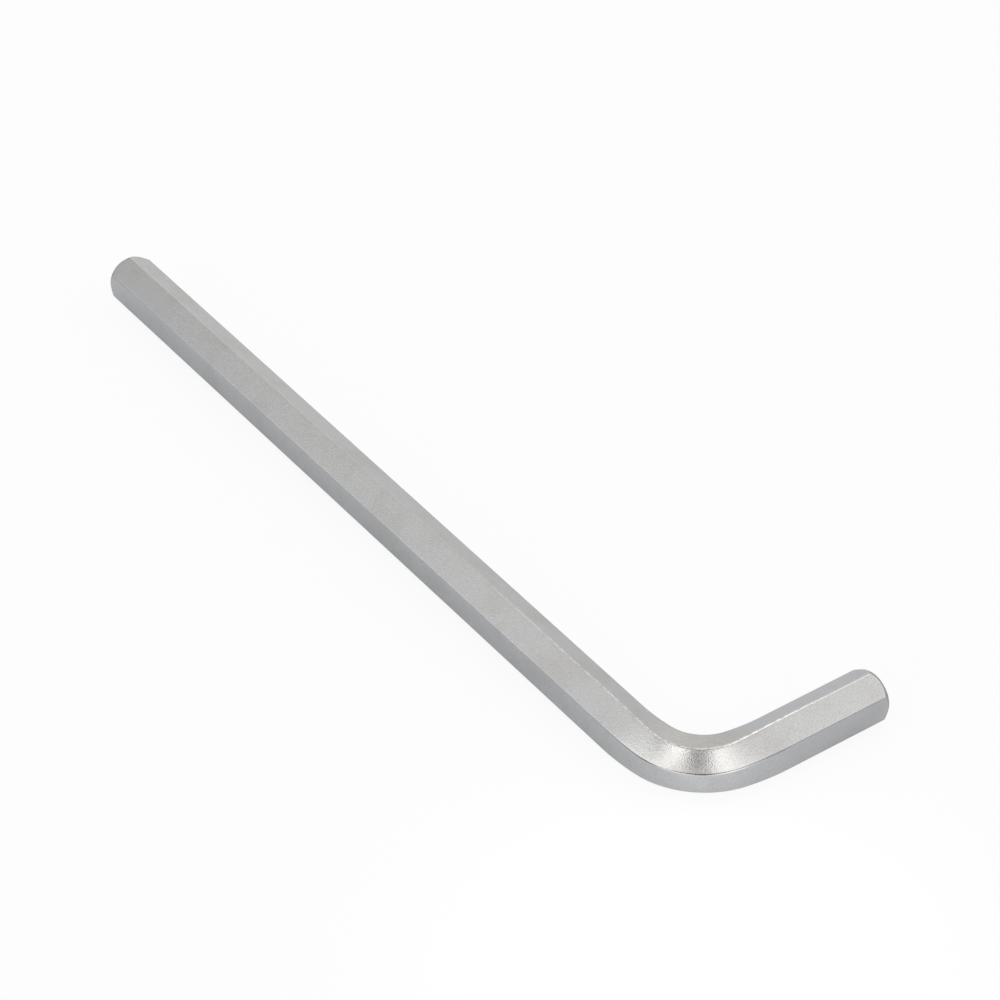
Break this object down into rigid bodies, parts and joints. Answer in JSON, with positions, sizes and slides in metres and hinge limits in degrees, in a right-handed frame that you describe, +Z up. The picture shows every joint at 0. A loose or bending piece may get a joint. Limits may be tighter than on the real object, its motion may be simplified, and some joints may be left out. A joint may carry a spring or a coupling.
{
  "type": "hex key",
  "caption": "L-shaped key of hexagon bar, bent once with a wide inner radius into a long and a short arm, each with a conical chamfer round its flat end.",
  "frame": {"origin": "centre of the key's outline, on the surface that it lies on", "axes": "+X runs along the long arm towards the bend, +Y along the short arm towards its end, and +Z is up"},
  "size_m": [0.294, 0.07, 0.0159],
  "materials": {
    "plated_steel": "satin nickel plate over a finely blasted surface"
  },
  "bodies": {
    "root": {"hex_key": "plated_steel"}
  },
  "joints": []
}
